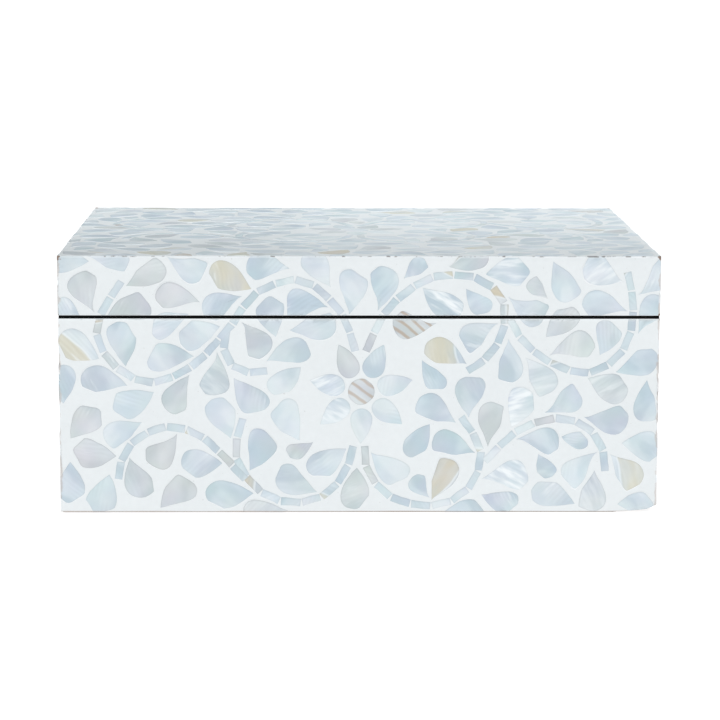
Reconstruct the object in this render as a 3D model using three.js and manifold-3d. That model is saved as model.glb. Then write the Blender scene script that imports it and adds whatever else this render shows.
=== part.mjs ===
// A rectangular keepsake box with a lift-off lid. Wood boards carry a thin pale filler on the
// outside, and tiles cut from mother-of-pearl are set flush into it. The front shows a flower with
// seven petals and vines that curl away from it, laid straight across the seam of the lid.
// Millimetres, +Z up, front towards -Y, origin at the middle of the underside.
import * as THREE from 'three';
import { mergeVertices } from 'three/addons/utils/BufferGeometryUtils.js';
import Module from 'manifold-3d';

const wasm = await Module();
wasm.setup();

// Overall box
const LENGTH = 300;
const DEPTH = 240;
const HEIGHT = 130;

// Layers of a wall, from outside to inside
const VENEER = 1.5;
const BOARD = 9;
const FLOOR = 6;

// Seam: the base ends at SEAM_LOW, the lid starts at SEAM_HIGH and sits on the tongue
const SEAM_LOW = 98.5;
const SEAM_HIGH = 100;
const TONGUE_TOP = 106;
const TONGUE_THICKNESS = 4.5;
const TONGUE_CLEARANCE = 0.25;

// The filler stops short of the ground, so the box stands on its boards
const FOOT = 0.5;

// Tiles
const TILE_THICKNESS = 1;
const TILE_GAP = 0.3;
const LEAF_LENGTH = 18.5;
const LEAF_WIDTH = 12.6;
const LEAF_CURVE = 0.03;
const LEAF_SHARPNESS = 1.15;
const LEAF_SIDES = 9;
const STEM_WIDTH = 3.7;
const TESSERA_LENGTH = 10.4;
const STEM_CLEARANCE = 1;
const PARALLEL_ANGLE = 30;
const PARALLEL_LIFT = 0.11;

// How far to a leaf's side of the stem's middle line its point lies
const ROOT_OFFSET = 0.74;

// Pieces of a tile under this volume are splinters and are left out
const SMALLEST_PIECE = 20;

// Fineness of the curves and of the merging of shared vertices
const CURVE_TENSION = 0.5;
const CURVE_STEPS = 400;
const MERGE_DISTANCE = 1e-4;

// Flowers, one on the front and one on the lid's top
const FRONT_FLOWER = [1, 61.5];
const TOP_FLOWER = [0, 0];
const FLOWER_RADIUS = 6.4;
const DISC_SIDES = 14;
const PETALS = 7;
const PETAL_START = 8.3;
const PETAL_LENGTH = 18;
const PETAL_WIDTH = 11;

// Vines on the front face. A stem runs through its points (x, z). Each leaf is given by how far
// along the stem it sits and by how many degrees it turns out from it, to the left or the right
// of the direction of growth.
const VINES = {
  upper_left: {
    stem: [[-2, 82], [-9, 101], [-28, 117.5], [-51, 111.5], [-64, 95], [-82, 75.5], [-105, 66],
      [-124, 77], [-130.5, 95], [-118, 117]],
    left: [[27, 53], [44, 35], [87, 62], [106, 28], [123, 26], [141, 15], [152, 10], [170, 24],
      [191, 40], [200, 8]],
    right: [[18, 30], [33, 14], [52, 6], [70, 66], [75, 26], [92, 24], [113, 24], [136, 62],
      [158, 32], [192, 46], [210, 32]],
  },
  upper_left_sprig: {
    stem: [[-66, 92], [-67.5, 84], [-64.5, 76], [-57, 71.5], [-46, 72]],
    left: [[33, 80], [36, 12]],
    right: [[19, 16], [27, 18]],
  },
  upper_right: {
    stem: [[3, 82], [14, 103], [31, 117], [48, 120.5], [64, 116], [72.5, 104], [71, 91], [65, 80],
      [54, 72]],
    left: [[19, 26], [33, 18], [60, 22], [77, 26], [91, 40], [110, 24]],
    right: [[24, 25], [46, 60], [63, 38], [104, 40], [133, 58]],
  },
  upper_right_outer: {
    stem: [[75, 98], [82.5, 86], [96, 76], [113, 71], [128, 78], [135.5, 93], [136, 108], [133, 122]],
    left: [[3, 40], [28, 42], [54, 62], [92, 78], [108, 45]],
    right: [[22, 12], [50, 32], [62, 12], [80, 24], [100, 50]],
  },
  lower_left: {
    stem: [[-3, 34], [-5.5, 24], [-15, 10.5], [-30, 5], [-46, 8.5], [-57, 19], [-62, 32], [-58, 48]],
    left: [[8, 10], [48, 6], [66, 42], [96, 28]],
    right: [[2, 50], [32, 48], [56, 60], [76, 50], [104, 66]],
  },
  lower_left_outer: {
    stem: [[-57, 17], [-67, 28], [-80, 39.5], [-95, 44], [-109, 39], [-118, 29], [-120.5, 17]],
    left: [[14, 42], [45, 55], [76, 45]],
    right: [[25, 22], [58, 2], [78, 78], [84, 22]],
  },
  lower_right: {
    stem: [[3, 34], [3.5, 24], [12, 10.5], [26, 4.5], [42, 4.2], [55, 12.5], [61, 25], [59.5, 36],
      [51, 49]],
    left: [[3, 62], [28, 50], [52, 60], [92, 58], [113, 22]],
    right: [[60, 4], [80, 64], [92, 20], [110, 36]],
  },
  lower_right_outer: {
    stem: [[63, 26], [77, 40], [90, 46.5], [103, 48], [115, 43], [122, 33], [123.5, 21]],
    left: [[21, 20], [38, 24], [53, 32], [64, 34], [77, 36]],
    right: [[18, 42], [40, 55], [73, 54], [84, 8]],
  },
};

// Worn corner at the lower front right: two flat cuts, each through three points
const WORN_CUTS = [
  [[127, -120, 0], [150, -120, 2.2], [150, -80, 0]],
  [[141, -120, 0], [150, -120, 4], [150, -100, 0]],
];
const CUT_SIZE = 60;

const boardMaterial = new THREE.MeshStandardMaterial({ color: 0x2a211c, roughness: 0.8 });
const fillerMaterial = new THREE.MeshStandardMaterial({ color: 0xe8edf0, roughness: 0.3 });
const leafMaterial = new THREE.MeshStandardMaterial({ color: 0xcfdde4, roughness: 0.22, metalness: 0.05 });
const flowerMaterial = new THREE.MeshStandardMaterial({ color: 0xd6dfe2, roughness: 0.2, metalness: 0.05 });

// ---- solids and meshes ----

function solidFrom(geometry) {
  const bare = geometry.clone();
  bare.deleteAttribute('normal');
  bare.deleteAttribute('uv');
  const merged = mergeVertices(bare, MERGE_DISTANCE);
  const vertProperties = merged.attributes.position.array;
  const triVerts = new Uint32Array(merged.index.array);
  return new wasm.Manifold(new wasm.Mesh({ numProp: 3, vertProperties, triVerts }));
}

function geometryFrom(solid) {
  const mesh = solid.getMesh();
  const geometry = new THREE.BufferGeometry();
  geometry.setAttribute('position', new THREE.BufferAttribute(mesh.vertProperties, 3));
  geometry.setIndex(new THREE.BufferAttribute(mesh.triVerts, 1));
  geometry.computeVertexNormals();
  return geometry;
}

function named(name, solid, material) {
  const mesh = new THREE.Mesh(geometryFrom(solid), material);
  mesh.name = name;
  return mesh;
}

// Box between two corners
function block(low, high) {
  const size = high.map((value, axis) => value - low[axis]);
  const geometry = new THREE.BoxGeometry(...size);
  geometry.translate(...low.map((value, axis) => value + size[axis] / 2));
  return solidFrom(geometry);
}

// Box under the plane through three points
function underPlane(points) {
  const [a, b, c] = points.map((point) => new THREE.Vector3(...point));
  const normal = b.clone().sub(a).cross(c.clone().sub(a)).normalize();
  if (normal.z < 0) normal.negate();
  const geometry = new THREE.BoxGeometry(CUT_SIZE, CUT_SIZE, CUT_SIZE);
  geometry.translate(0, 0, -CUT_SIZE / 2);
  const turn = new THREE.Quaternion().setFromUnitVectors(new THREE.Vector3(0, 0, 1), normal);
  geometry.applyQuaternion(turn);
  const centre = a.add(b).add(c).divideScalar(3);
  geometry.translate(centre.x, centre.y, centre.z);
  return solidFrom(geometry);
}

function withoutWornCorner(solid) {
  return WORN_CUTS.reduce((rest, cut) => rest.subtract(underPlane(cut)), solid);
}

// ---- boards ----

// A board whose section is drawn as (inward offset from the outer face of the veneer, height).
// It follows one side of the box and is mitred at both ends. side is 0 front, 1 right, 2 back, 3 left.
function mitredBoard(section, side) {
  const across = side % 2 === 0 ? DEPTH / 2 : LENGTH / 2;
  const along = side % 2 === 0 ? LENGTH / 2 : DEPTH / 2;
  const shape = new THREE.Shape(section.map(([inset, z]) => new THREE.Vector2(inset, z)));
  const geometry = new THREE.ExtrudeGeometry(shape, { depth: 1, bevelEnabled: false });
  const position = geometry.attributes.position;
  const quarter = [[1, 0], [0, 1], [-1, 0], [0, -1]][side];
  for (let i = 0; i < position.count; i += 1) {
    const inset = position.getX(i);
    const height = position.getY(i);
    const run = (position.getZ(i) > 0.5 ? 1 : -1) * (along - inset);
    const out = across - inset;
    const x = run * quarter[0] + out * quarter[1];
    const y = run * quarter[1] - out * quarter[0];
    position.setXYZ(i, x, y, height);
  }
  return solidFrom(geometry);
}

const INNER = VENEER + BOARD;
const SIDES = ['front', 'right', 'back', 'left'];

function baseBoards() {
  const tongue = INNER - TONGUE_THICKNESS;
  const section = [
    [VENEER, 0],
    [VENEER, SEAM_LOW],
    [tongue, SEAM_LOW],
    [tongue, TONGUE_TOP],
    [INNER, TONGUE_TOP],
    [INNER, 0],
  ];
  const boards = SIDES.map((name, side) => {
    const board = withoutWornCorner(mitredBoard(section, side));
    return named(`base_${name}_board`, board, boardMaterial);
  });
  const low = [-LENGTH / 2 + INNER, -DEPTH / 2 + INNER, 0];
  const high = [LENGTH / 2 - INNER, DEPTH / 2 - INNER, FLOOR];
  boards.push(named('base_floor_board', block(low, high), boardMaterial));
  return boards;
}

function lidBoards() {
  const rabbet = INNER - TONGUE_THICKNESS - TONGUE_CLEARANCE;
  const underTop = HEIGHT - VENEER - BOARD;
  const section = [
    [VENEER, SEAM_HIGH],
    [VENEER, underTop],
    [INNER, underTop],
    [INNER, TONGUE_TOP],
    [rabbet, TONGUE_TOP],
    [rabbet, SEAM_HIGH],
  ];
  const boards = SIDES.map((name, side) => (
    named(`lid_${name}_board`, mitredBoard(section, side), boardMaterial)
  ));
  const low = [-LENGTH / 2 + VENEER, -DEPTH / 2 + VENEER, underTop];
  const high = [LENGTH / 2 - VENEER, DEPTH / 2 - VENEER, HEIGHT - VENEER];
  boards.push(named('lid_top_board', block(low, high), boardMaterial));
  return boards;
}

// ---- tiles of the front face, drawn as outlines of [x, z] ----

// Leaf with its point at tip, growing along angle. A positive curve bends it to its left.
function leafOutline(tip, angle, length, width, curve) {
  const cos = Math.cos(angle);
  const sin = Math.sin(angle);
  const profile = [];
  for (let i = 0; i < LEAF_SIDES; i += 1) {
    const phase = (2 * Math.PI * i) / LEAF_SIDES;
    const along = (1 - Math.cos(phase)) / 2;
    profile.push([along, Math.sin(phase) * Math.abs(Math.sin(phase / 2)) ** LEAF_SHARPNESS]);
  }
  const widest = Math.max(...profile.map(([, side]) => side));
  return profile.map(([along, side]) => {
    const x = along * length;
    const y = (side / widest) * (width / 2) + 4 * curve * length * along * (1 - along);
    return [tip[0] + x * cos - y * sin, tip[1] + x * sin + y * cos];
  }).reverse();
}

function discOutline(centre, radius, sides) {
  return Array.from({ length: sides }, (_, i) => {
    const angle = (2 * Math.PI * i) / sides;
    return [centre[0] + radius * Math.cos(angle), centre[1] + radius * Math.sin(angle)];
  });
}

// Outline moved outwards by a distance, corners kept sharp
function grown(outline, distance) {
  const count = outline.length;
  const normals = outline.map(([x, z], i) => {
    const [nextX, nextZ] = outline[(i + 1) % count];
    const size = Math.hypot(nextX - x, nextZ - z);
    return [(nextZ - z) / size, (x - nextX) / size];
  });
  const turn = Math.sign(THREE.ShapeUtils.area(outline.map(([x, z]) => ({ x, y: z }))));
  return outline.map(([x, z], i) => {
    const [beforeX, beforeZ] = normals[(i + count - 1) % count];
    const [afterX, afterZ] = normals[i];
    const scale = (turn * distance) / (1 + beforeX * afterX + beforeZ * afterZ);
    return [x + (beforeX + afterX) * scale, z + (beforeZ + afterZ) * scale];
  });
}

// Where a prism of outline (u, v) and height w goes: w = 0 is the back of the tiles of that face
const FRONT = new THREE.Matrix4().set(
  1, 0, 0, 0,
  0, 0, -1, -DEPTH / 2 + TILE_THICKNESS,
  0, 1, 0, 0,
  0, 0, 0, 1,
);
const TOP = new THREE.Matrix4().makeTranslation(0, 0, HEIGHT - TILE_THICKNESS);

function prism(outline, face, height) {
  const shape = new THREE.Shape(outline.map(([u, v]) => new THREE.Vector2(u, v)));
  const geometry = new THREE.ExtrudeGeometry(shape, { depth: height, bevelEnabled: false });
  geometry.applyMatrix4(face);
  return solidFrom(geometry);
}

// A tile solid and the pocket that it sits in
function tileAndPocket(outlines, face) {
  const join = (solids) => solids.reduce((all, solid) => all.add(solid));
  const pocketHeight = 2 * TILE_THICKNESS;
  return {
    tile: join(outlines.map((outline) => prism(outline, face, TILE_THICKNESS))),
    pocket: join(outlines.map((outline) => prism(grown(outline, TILE_GAP), face, pocketHeight))),
  };
}

function stemCurve(points) {
  const knots = points.map(([x, z]) => new THREE.Vector3(x, 0, z));
  const curve = new THREE.CatmullRomCurve3(knots, false, 'catmullrom', CURVE_TENSION);
  curve.arcLengthDivisions = CURVE_STEPS;
  return curve;
}

function pointOn(curve, fraction, sideways) {
  const point = curve.getPointAt(fraction);
  const heading = curve.getTangentAt(fraction);
  return {
    x: point.x - heading.z * sideways,
    z: point.z + heading.x * sideways,
    angle: Math.atan2(heading.z, heading.x),
  };
}

// Stem as a band of straight tesserae laid end to end
function stemOutline(curve) {
  const count = Math.round(curve.getLength() / TESSERA_LENGTH);
  const left = [];
  const right = [];
  for (let i = 0; i <= count; i += 1) {
    const leftPoint = pointOn(curve, i / count, STEM_WIDTH / 2);
    const rightPoint = pointOn(curve, i / count, -STEM_WIDTH / 2);
    left.unshift([leftPoint.x, leftPoint.z]);
    right.push([rightPoint.x, rightPoint.z]);
  }
  return [...right, ...left];
}

// Leaves of one side of a stem, joined to its middle line. Leaves that lie nearly along the stem
// reach further before they widen.
function leafOutlines(curve, leaves, side) {
  return leaves.map(([distance, spread]) => {
    const reach = STEM_WIDTH / 2 + STEM_CLEARANCE + PARALLEL_LIFT * Math.max(0, PARALLEL_ANGLE - spread);
    const root = pointOn(curve, Math.min(1, distance / curve.getLength()), side * ROOT_OFFSET);
    const angle = root.angle + side * THREE.MathUtils.degToRad(spread);
    return leafOutline([root.x, root.z], angle, LEAF_LENGTH + reach, LEAF_WIDTH, LEAF_CURVE * side);
  });
}

function vineOutlines({ stem, left, right }) {
  const curve = stemCurve(stem);
  return [stemOutline(curve), ...leafOutlines(curve, left, 1), ...leafOutlines(curve, right, -1)];
}

function petalOutline([x, y], index) {
  const angle = -Math.PI / 2 + (2 * Math.PI * index) / PETALS;
  const reach = PETAL_START + PETAL_LENGTH;
  const tip = [x + reach * Math.cos(angle), y + reach * Math.sin(angle)];
  return leafOutline(tip, angle + Math.PI, PETAL_LENGTH, PETAL_WIDTH, 0);
}

// Names and outlines of the tiles of a flower
function flowerTiles(prefix, centre) {
  const disc = discOutline(centre, FLOWER_RADIUS, DISC_SIDES);
  const petals = Array.from({ length: PETALS }, (_, index) => (
    [`${prefix}_petal_${index + 1}`, petalOutline(centre, index)]
  ));
  return [[`${prefix}_centre`, disc], ...petals];
}

// ---- the two bodies ----

const baseShell = [
  [-LENGTH / 2, -DEPTH / 2, FOOT],
  [LENGTH / 2, DEPTH / 2, SEAM_LOW],
];
const lidShell = [
  [-LENGTH / 2, -DEPTH / 2, SEAM_HIGH],
  [LENGTH / 2, DEPTH / 2, HEIGHT],
];

function baseFiller() {
  const core = block(
    [-LENGTH / 2 + VENEER, -DEPTH / 2 + VENEER, -1],
    [LENGTH / 2 - VENEER, DEPTH / 2 - VENEER, SEAM_LOW + 1],
  );
  return withoutWornCorner(block(...baseShell).subtract(core));
}

function lidFiller() {
  const core = block(
    [-LENGTH / 2 + VENEER, -DEPTH / 2 + VENEER, SEAM_HIGH - 1],
    [LENGTH / 2 - VENEER, DEPTH / 2 - VENEER, HEIGHT - VENEER],
  );
  return block(...lidShell).subtract(core);
}

// The bodies of a solid from left to right, without splinters
function pieces(solid) {
  return solid.decompose()
    .filter((piece) => piece.volume() >= SMALLEST_PIECE)
    .sort((a, b) => a.boundingBox().min[0] - b.boundingBox().min[0]);
}

function build() {
  const bodies = { base: new THREE.Group(), lid: new THREE.Group() };
  bodies.base.add(...baseBoards());
  bodies.lid.add(...lidBoards());
  const shells = { base: block(...baseShell), lid: block(...lidShell) };
  const pockets = [];

  for (const [name, vine] of Object.entries(VINES)) {
    const { tile, pocket } = tileAndPocket(vineOutlines(vine), FRONT);
    const free = pockets.reduce((rest, other) => rest.subtract(other), tile);
    for (const part of ['base', 'lid']) {
      pieces(free.intersect(shells[part])).forEach((piece, index) => {
        bodies[part].add(named(`vine_${name}_${part}_${index + 1}`, piece, leafMaterial));
      });
    }
    pockets.push(pocket);
  }

  const flowers = [
    ['base', FRONT, flowerTiles('flower', FRONT_FLOWER)],
    ['lid', TOP, flowerTiles('top_flower', TOP_FLOWER)],
  ];
  for (const [part, face, tiles] of flowers) {
    for (const [name, outline] of tiles) {
      const { tile, pocket } = tileAndPocket([outline], face);
      bodies[part].add(named(name, tile, flowerMaterial));
      pockets.push(pocket);
    }
  }

  const withPockets = (filler) => pockets.reduce((rest, pocket) => rest.subtract(pocket), filler);
  bodies.base.add(named('base_filler', withPockets(baseFiller()), fillerMaterial));
  bodies.lid.add(named('lid_filler', withPockets(lidFiller()), fillerMaterial));

  const box = new THREE.Group();
  box.add(bodies.base, bodies.lid);
  return box;
}

export default build();
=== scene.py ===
"""A lidded keepsake box faced with mother-of-pearl tiles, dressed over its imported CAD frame."""

import math

import bmesh
import bpy
import numpy as np
from bpy.props import FloatProperty, FloatVectorProperty, IntProperty, PointerProperty
from bpy.types import Operator, Panel, PropertyGroup
from mathutils import Euler, Matrix, Vector, noise


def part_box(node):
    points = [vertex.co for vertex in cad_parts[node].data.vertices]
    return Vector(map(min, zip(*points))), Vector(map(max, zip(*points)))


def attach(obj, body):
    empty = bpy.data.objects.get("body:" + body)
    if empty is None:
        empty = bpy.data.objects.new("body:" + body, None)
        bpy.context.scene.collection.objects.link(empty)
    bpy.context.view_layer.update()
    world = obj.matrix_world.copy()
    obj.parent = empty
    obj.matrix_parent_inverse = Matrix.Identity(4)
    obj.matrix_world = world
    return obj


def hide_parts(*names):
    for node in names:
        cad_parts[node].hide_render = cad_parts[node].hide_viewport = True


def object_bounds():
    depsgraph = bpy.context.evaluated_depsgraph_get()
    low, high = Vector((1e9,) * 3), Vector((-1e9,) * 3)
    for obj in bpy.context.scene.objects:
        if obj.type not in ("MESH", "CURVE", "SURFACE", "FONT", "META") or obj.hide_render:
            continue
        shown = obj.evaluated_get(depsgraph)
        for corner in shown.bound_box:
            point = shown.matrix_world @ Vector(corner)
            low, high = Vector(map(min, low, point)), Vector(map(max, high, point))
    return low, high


bl_info = {
    "name": "Shell Box",
    "version": (1, 0, 0),
    "blender": (4, 5, 0),
    "location": "View3D > Sidebar > Shell Box",
    "description": "Builds a keepsake box inlaid with mother-of-pearl tiles, and its studio",
    "category": "Object",
}

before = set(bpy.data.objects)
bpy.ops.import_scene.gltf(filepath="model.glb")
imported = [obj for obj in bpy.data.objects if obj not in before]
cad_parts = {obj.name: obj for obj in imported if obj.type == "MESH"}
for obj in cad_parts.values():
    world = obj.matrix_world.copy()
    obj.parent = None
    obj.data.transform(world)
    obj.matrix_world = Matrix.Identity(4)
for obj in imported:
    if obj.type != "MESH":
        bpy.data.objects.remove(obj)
CAD_LOW, CAD_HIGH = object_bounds()

MM = 0.001
BODY = "root"
HALF_LENGTH = CAD_HIGH.x
HALF_DEPTH = CAD_HIGH.y
HEIGHT = CAD_HIGH.z
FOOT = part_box("base_filler")[0].z
SEAM_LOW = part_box("base_filler")[1].z
SEAM_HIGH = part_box("lid_filler")[0].z
FLOWER_LOW, FLOWER_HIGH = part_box("flower_centre")
FRONT_FLOWER = ((FLOWER_LOW.x + FLOWER_HIGH.x) / 2 / MM, (FLOWER_LOW.z + FLOWER_HIGH.z) / 2 / MM)

# The vines of the front: stems through points (u, v) in millimetres, and the leaves on their left and
# right, each as its distance along the stem and the angle in degrees that it turns out from it.
VINES = {
    "upper_left": {
        "stem": [(-2, 82), (-9, 101), (-28, 117.5), (-51, 111.5), (-64, 95), (-82, 75.5), (-105, 66),
                 (-124, 77), (-130.5, 95), (-118, 117)],
        "left": [(27, 53), (44, 35), (87, 62), (106, 28), (123, 26), (141, 15), (152, 10), (170, 24),
                 (191, 40), (200, 8)],
        "right": [(18, 30), (33, 14), (52, 6), (70, 66), (75, 26), (92, 24), (113, 24), (136, 62),
                  (158, 32), (192, 46), (210, 32)],
    },
    "upper_left_sprig": {
        "stem": [(-66, 92), (-67.5, 84), (-64.5, 76), (-57, 71.5), (-46, 72)],
        "left": [(33, 80), (36, 12)],
        "right": [(19, 16), (27, 18)],
    },
    "upper_right": {
        "stem": [(3, 82), (14, 103), (31, 117), (48, 120.5), (64, 116), (72.5, 104), (71, 91), (65, 80),
                 (54, 72)],
        "left": [(19, 26), (33, 18), (60, 22), (77, 26), (91, 40), (110, 24)],
        "right": [(24, 25), (46, 60), (63, 38), (104, 40), (133, 58)],
    },
    "upper_right_outer": {
        "stem": [(75, 98), (82.5, 86), (96, 76), (113, 71), (128, 78), (135.5, 93), (136, 108), (133, 122)],
        "left": [(3, 40), (28, 42), (54, 62), (92, 78), (108, 45)],
        "right": [(22, 12), (50, 32), (62, 12), (80, 24), (100, 50)],
    },
    "lower_left": {
        "stem": [(-3, 34), (-5.5, 24), (-15, 10.5), (-30, 5), (-46, 8.5), (-57, 19), (-62, 32), (-58, 48)],
        "left": [(8, 10), (48, 6), (66, 42), (96, 28)],
        "right": [(2, 50), (32, 48), (56, 60), (76, 50), (104, 66)],
    },
    "lower_left_outer": {
        "stem": [(-57, 17), (-67, 28), (-80, 39.5), (-95, 44), (-109, 39), (-118, 29), (-120.5, 17)],
        "left": [(14, 42), (45, 55), (76, 45)],
        "right": [(25, 22), (58, 2), (78, 78), (84, 22)],
    },
    "lower_right": {
        "stem": [(3, 34), (3.5, 24), (12, 10.5), (26, 4.5), (42, 4.2), (55, 12.5), (61, 25), (59.5, 36),
                 (51, 49)],
        "left": [(3, 62), (28, 50), (52, 60), (92, 58), (113, 22)],
        "right": [(60, 4), (80, 64), (92, 20), (110, 36)],
    },
    "lower_right_outer": {
        "stem": [(63, 26), (77, 40), (90, 46.5), (103, 48), (115, 43), (122, 33), (123.5, 21)],
        "left": [(21, 20), (38, 24), (53, 32), (64, 34), (77, 36)],
        "right": [(18, 42), (40, 55), (73, 54), (84, 8)],
    },
}

# Tiles of the front that differ from the rest: a point on or near each, and its finish
FRONT_ACCENTS = [
    (-67, 123, "cream"), (-20, 122, "cream_edge"), (92, 121, "ochre"), (76, 122, "flash"),
    (122, 125, "flash"), (45, 108, "flash"), (54, 126, "tan"), (17, 92, "striped"),
    (37, 91, "cream_edge"), (57, 59, "cream_edge"), (92, 65, "tan_edge"), (127, 62, "tan_edge"),
    (46, 20, "ochre"), (73, 21, "flash"), (82, 58, "flash"), (120, 10, "tan_edge"), (-140, 112, "grey"),
    (-94, 107, "grey"), (-58, 85, "grey"), (-40, 33, "grey"), (-104, 30, "grey"), (-129, 23, "grey"),
    (-107, 15, "grey"), (-83, 54, "grey"), (-45, 22, "ochre"), (-24, 16, "cream_edge"),
    (-75, 67, "tan_edge"), (-88, 26, "cream_edge"), (-15, 62, "flash"), (-14, 55, "flash"),
    (-7, 77, "grey"), (1, 61, "striped"), (4, 48, "cream_edge"), (-130, 93, "tan"), (70, 110, "ochre"),
    (72, 103, "ochre"),
]

# ---- values a user would change ----


def length_value(name, description, millimetres):
    return FloatProperty(name=name, description=description, default=millimetres * MM, unit="LENGTH")


def angle_value(name, description, degrees):
    return FloatProperty(name=name, description=description, default=math.radians(degrees), unit="ROTATION")


def colour_value(name, description, *shade):
    return FloatVectorProperty(name=name, description=description, default=shade, subtype="COLOR")


class TileSizes(PropertyGroup):
    leaf_length: length_value("Leaf length", "Length of a usual leaf tile", 22.2)
    leaf_width: length_value("Leaf width", "Width of a usual leaf tile", 14.3)
    stem_width: length_value("Stem width", "Width of the tesserae of a stem", 3.9)
    tessera_length: length_value("Tessera length", "Length of one tessera of a stem", 9.4)
    joint: length_value("Joint", "Gap between two tesserae", 0.8)
    ground: length_value("Ground", "Smallest gap around a free leaf", 1.3)
    thickness: length_value("Thickness", "Thickness of a tile", 0.8)
    bevel: length_value("Bevel", "Width of the softened rim of a tile", 0.28)
    collar: length_value("Collar", "Width of the filler drawn up against a tile", 0.7)
    wander: length_value("Wander", "How far a hand-cut outline strays", 0.8)
    tilt: angle_value("Tilt", "Largest tilt of a tile", 0.25)
    seed: IntProperty(name="Seed", description="Seed of the free leaves and of the tile tones", default=7)


class FillerSizes(PropertyGroup):
    sink: length_value("Sink", "How far the filler lies below the outside of the box", 0.28)
    edge_radius: length_value("Edge radius", "Rounding of the box edges", 0.35)
    shell: length_value("Thickness", "Thickness of the filler over the boards", 1.2)
    cell: length_value("Cell", "Size of the surface cells", 3.0)
    waviness: length_value("Waviness", "Height of the hand-rubbed waves at the edges", 0.25)


class Finishes(PropertyGroup):
    filler: colour_value("Filler", "Colour of the filler", 0.795, 0.818, 0.829)
    # Collar: filler drawn up against a tile, painted lighter as a highlight round the tile
    collar: colour_value("Collar", "Filler drawn up against a tile", 0.85, 0.868, 0.88)
    speck: colour_value("Speck", "Small pits in the filler", 0.35, 0.33, 0.31)
    pale: colour_value("Pale shell", "Lightest shell", 0.718, 0.774, 0.806)
    blue: colour_value("Blue shell", "Usual blue-grey shell", 0.620, 0.695, 0.745)
    deep: colour_value("Deep shell", "Darkest blue-grey shell", 0.510, 0.594, 0.658)
    grey: colour_value("Grey shell", "Grey shell", 0.595, 0.612, 0.615)
    # Flash: colour of the painted highlights on the shell and along the edges, and of the pale line beside a
    # warm patch
    flash: colour_value("Flash", "Streaks that catch the light", 0.88, 0.91, 0.925)
    rim: colour_value("Rim", "Darker line around a tile", 0.36, 0.37, 0.38)
    cream: colour_value("Cream shell", "Cream patches", 0.66, 0.635, 0.50)
    ochre: colour_value("Ochre shell", "Ochre and tan patches", 0.50, 0.32, 0.16)
    board: colour_value("Paint", "Paint on the boards", 0.004, 0.004, 0.004)
    bare: colour_value("Bare board", "Board where the finish is rubbed off", 0.20, 0.105, 0.055)
    rubbed: colour_value("Rubbed edge", "Thin tan line where an edge is rubbed", 0.52, 0.42, 0.36)
    dirt: colour_value("Dirt", "Dark specks along the upper edge", 0.12, 0.10, 0.09)


class Studio(PropertyGroup):
    eye: FloatVectorProperty(name="Camera", description="Place of the camera",
                             default=(-21.94 * MM, -1462.74 * MM, 287.70 * MM), subtype="TRANSLATION")
    pitch: angle_value("Pitch", "How far the camera looks down", 8.89)
    yaw: angle_value("Yaw", "How far the camera turns to the right", 0.95)
    roll: angle_value("Roll", "Roll of the camera", 0.16)
    lens: FloatProperty(name="Lens", description="Focal length on a 36 mm sensor, in millimetres",
                        default=136.4)
    floor_glow: FloatProperty(name="Floor glow", description="Light that the floor gives off", default=0.9)


class ShellBoxSettings(PropertyGroup):
    tiles: PointerProperty(type=TileSizes, name="Tiles", description="Sizes of the tiles")
    filler: PointerProperty(type=FillerSizes, name="Filler", description="Sizes of the filler")
    finishes: PointerProperty(type=Finishes, name="Finishes", description="Colours of the box")
    studio: PointerProperty(type=Studio, name="Studio", description="Camera and light")


def settings():
    return bpy.context.scene.shell_box


# ---- outlines, in millimetres ----

LEAF_STEPS = 36
# Leaf shapes: how drawn-out the point is, how far the leaf bends, how much fuller its left half is,
# and the flats cut on it, each by its direction from the tile's axis in degrees and its depth
LEAF_KINDS = [
    (0.98, 0.02, 0.05, [(60, 0.10)]),
    (1.13, -0.05, -0.15, [(-75, 0.09), (20, 0.03)]),
    (1.23, 0.08, 0.16, [(30, 0.05), (105, 0.08)]),
    (1.33, -0.08, -0.10, [(-35, 0.09)]),
    (1.48, 0.11, -0.06, [(5, 0.05)]),
    (1.48, -0.08, 0.12, [(75, 0.08)]),
    (1.73, 0.05, -0.14, [(-15, 0.04), (-95, 0.09)]),
    (1.73, -0.10, 0.06, [(45, 0.07)]),
    (2.03, 0.10, 0.10, [(-45, 0.08)]),
    (2.03, -0.11, -0.08, [(-5, 0.07), (90, 0.06)]),
    (1.08, 0.06, 0.00, [(40, 0.08), (-40, 0.10)]),
    (1.58, -0.04, 0.20, [(100, 0.12)]),
]
# Lengths and widths at which the shapes are drawn, before each tile is scaled
NOMINAL_LEAF = (20.5, 13.4)
NOMINAL_TESSERA = (9.4, 3.7)
PETAL = (18.0, 11.0)
PETAL_SHARPNESS = 0.95
PETALS = 7
# Radius of a flower's disc, and how far from its centre the petals start
DISC_RADIUS = 6.6
PETAL_START = 8.3
# Numbers of the tile shapes
TESSERA_SHAPE = 0
DISC_SHAPE = 1
PETAL_SHAPE = 2
FIRST_LEAF_SHAPE = 3


def leaf_outline(length, width, sharpness, curve=0.0, fuller=0.0, flats=()):
    """Leaf with its point at the origin, growing along +x, counter-clockwise."""
    phase = 2 * math.pi * (np.arange(LEAF_STEPS) + 0.5) / LEAF_STEPS
    along = (1 - np.cos(phase)) / 2
    side = -np.sin(phase) * np.abs(np.sin(phase / 2)) ** sharpness
    side = side / side.max() * width / 2
    side *= 1 + fuller * np.sign(side)
    outline = np.c_[along * length, side + 4 * curve * length * along * (1 - along)]
    for angle, depth in flats:
        out = np.array([math.cos(math.radians(angle)), math.sin(math.radians(angle))])
        reach = outline @ out
        beyond = np.maximum(reach - (reach.max() - depth * width), 0)
        outline -= beyond[:, None] * out
    return outline


def tessera_outline(length, width, steps=5):
    edge = np.linspace(-0.5, 0.5, steps)
    low = np.c_[edge * length, np.full(steps, -width / 2)]
    high = np.c_[edge[::-1] * length, np.full(steps, width / 2)]
    return np.vstack([low, high])


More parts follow.
